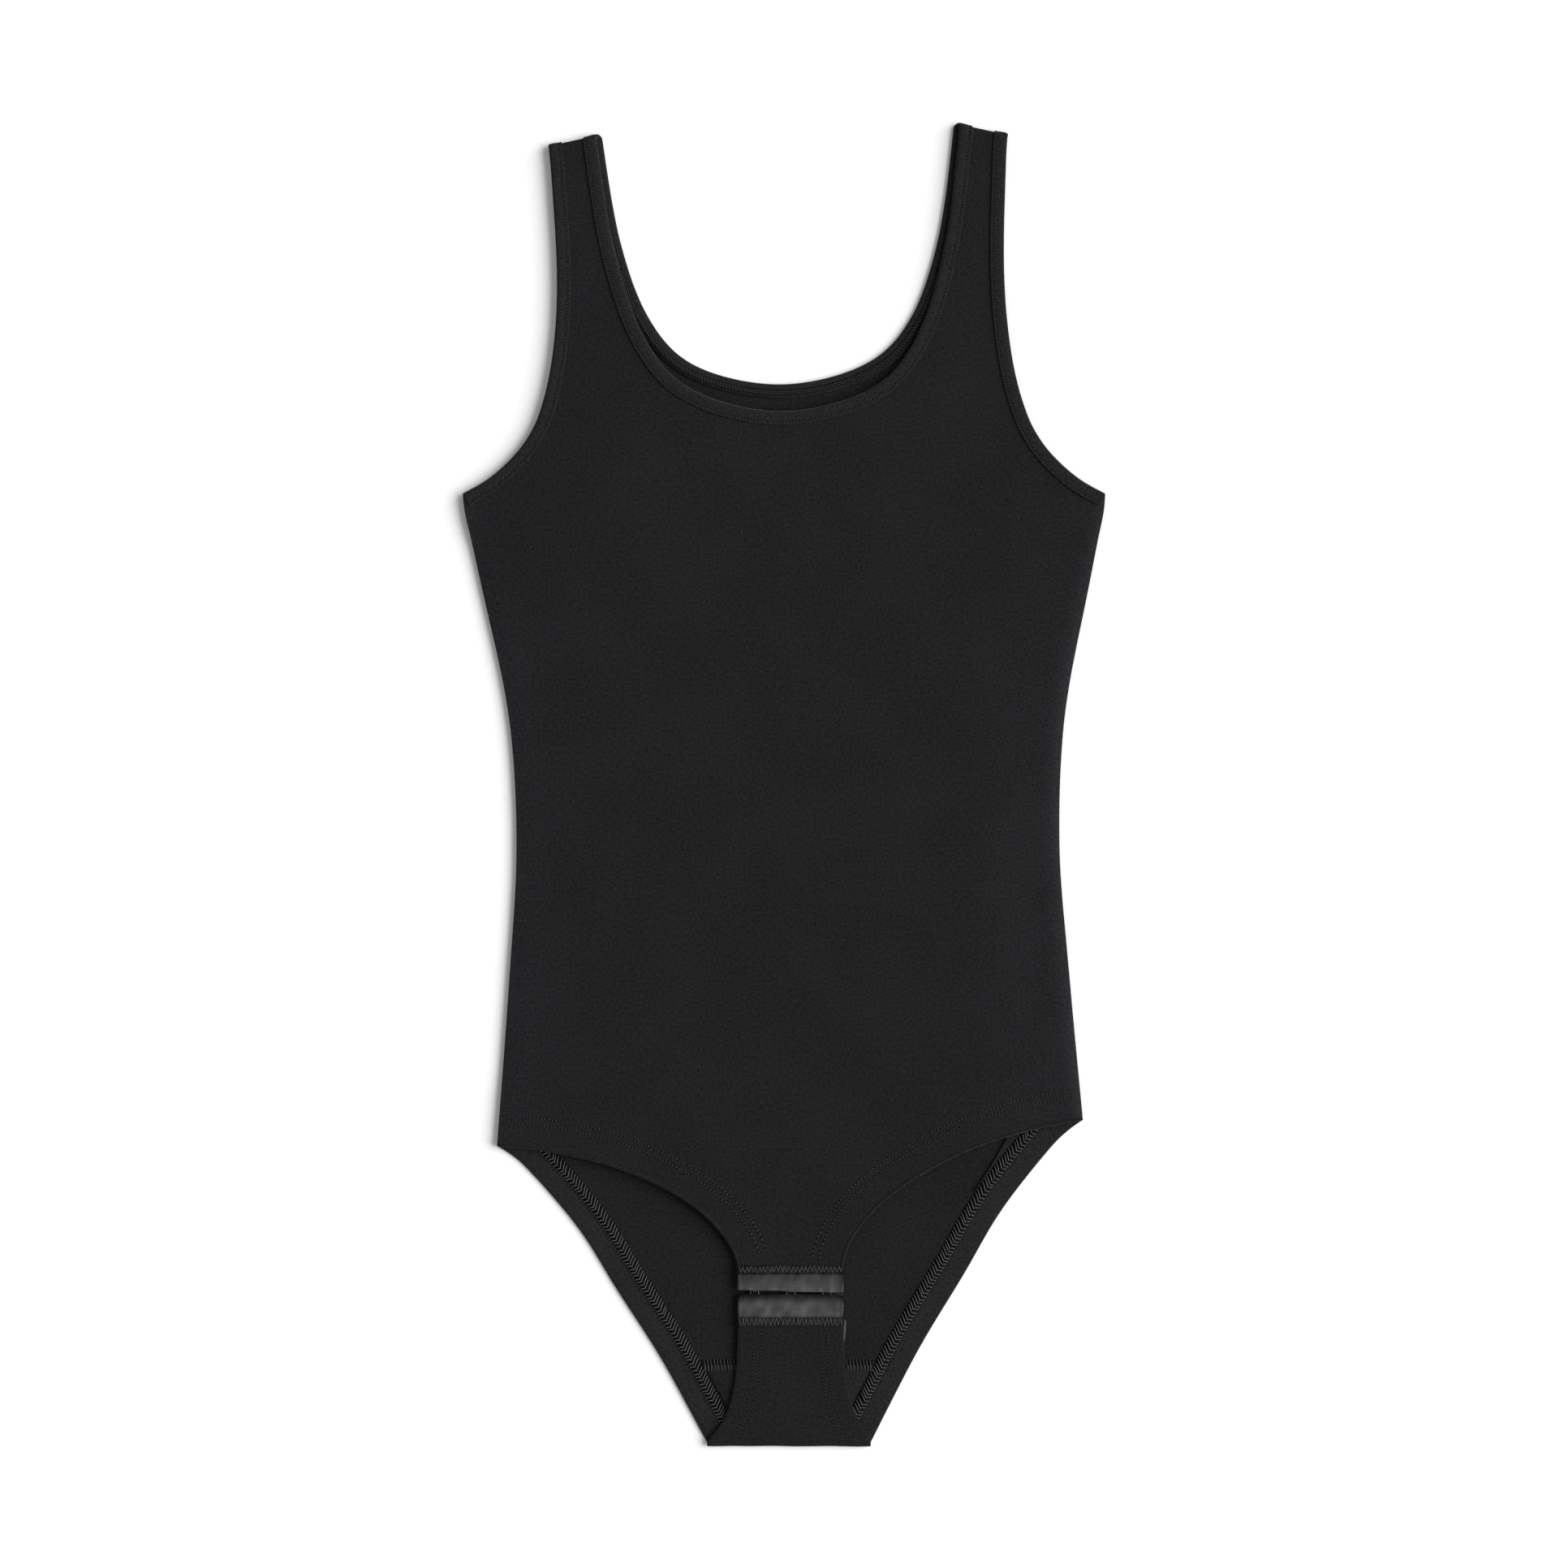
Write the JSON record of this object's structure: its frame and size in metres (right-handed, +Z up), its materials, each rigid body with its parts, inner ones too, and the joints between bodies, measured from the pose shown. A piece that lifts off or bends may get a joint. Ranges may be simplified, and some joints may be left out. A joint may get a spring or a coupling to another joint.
{
  "type": "gymnastics leotard",
  "caption": "Sleeveless scoop-neck tank leotard in black jersey, laid flat, with bound edges and a hook-and-eye crotch closure.",
  "frame": {"origin": "on the table, under the middle of the leotard's bounding box as it lies flat and face up", "axes": "+Y towards the shoulders along the length, +X to the right as seen from above, +Z up out of the table"},
  "size_m": [0.34, 0.698, 0.0077],
  "materials": {
    "jersey": "matte knit",
    "binding": "matte knit, folded",
    "lining": "matte fine knit",
    "satin": "satin weave",
    "wire": "polished wire"
  },
  "bodies": {
    "torso": {"front_panel": "jersey", "back_panel": "jersey", "front_neck_binding": "binding", "back_neck_binding": "binding", "front_armhole_binding_left": "binding", "back_armhole_binding_left": "binding", "side_seam_left": "jersey", "front_leg_hem_left": "jersey", "back_leg_hem_left": "jersey", "front_armhole_binding_right": "binding", "back_armhole_binding_right": "binding", "side_seam_right": "jersey", "front_leg_hem_right": "jersey", "back_leg_hem_right": "jersey", "gusset_back": "jersey", "gusset_seam": "jersey", "gusset_lining_back": "lining"},
    "front_tab": {"front_tab": "jersey", "tab_hem_left": "jersey", "tab_hem_right": "jersey", "hook_tape_face": "satin", "hook_tape_backing": "satin", "hook_left": "wire", "hook_middle": "wire", "hook_right": "wire"},
    "gusset": {"gusset_front": "jersey", "gusset_lining_front": "lining", "gusset_hem_left": "jersey", "gusset_hem_right": "jersey", "eye_tape_face": "satin", "eye_tape_backing": "satin", "eye_left": "wire", "eye_middle": "wire", "eye_right": "wire"},
    "strap_left": {"front_strap_left": "jersey", "back_strap_left": "jersey", "shoulder_seam_left": "jersey", "strap_front_neck_binding_left": "binding", "strap_back_neck_binding_left": "binding", "strap_front_armhole_binding_left": "binding", "strap_back_armhole_binding_left": "binding"},
    "strap_right": {"front_strap_right": "jersey", "back_strap_right": "jersey", "shoulder_seam_right": "jersey", "strap_front_neck_binding_right": "binding", "strap_back_neck_binding_right": "binding", "strap_front_armhole_binding_right": "binding", "strap_back_armhole_binding_right": "binding"}
  },
  "joints": [
    {"name": "front_tab_lift", "type": "hinge", "parent": "torso", "child": "front_tab", "pos_m": [0.004, -0.215, 0.00675], "axis": [-1, 0, 0], "range_deg": [0, 115]},
    {"name": "gusset_fold", "type": "hinge", "parent": "torso", "child": "gusset", "pos_m": [0.004, -0.3471, 0.0019], "axis": [1, 0, 0], "range_deg": [0, 165]},
    {"name": "strap_left_fold", "type": "hinge", "parent": "torso", "child": "strap_left", "pos_m": [-0.105, 0.272, 0.00575], "axis": [1, 0, 0], "range_deg": [0, 165]},
    {"name": "strap_right_fold", "type": "hinge", "parent": "torso", "child": "strap_right", "pos_m": [0.101, 0.272, 0.00575], "axis": [1, 0, 0], "range_deg": [0, 165]}
  ]
}
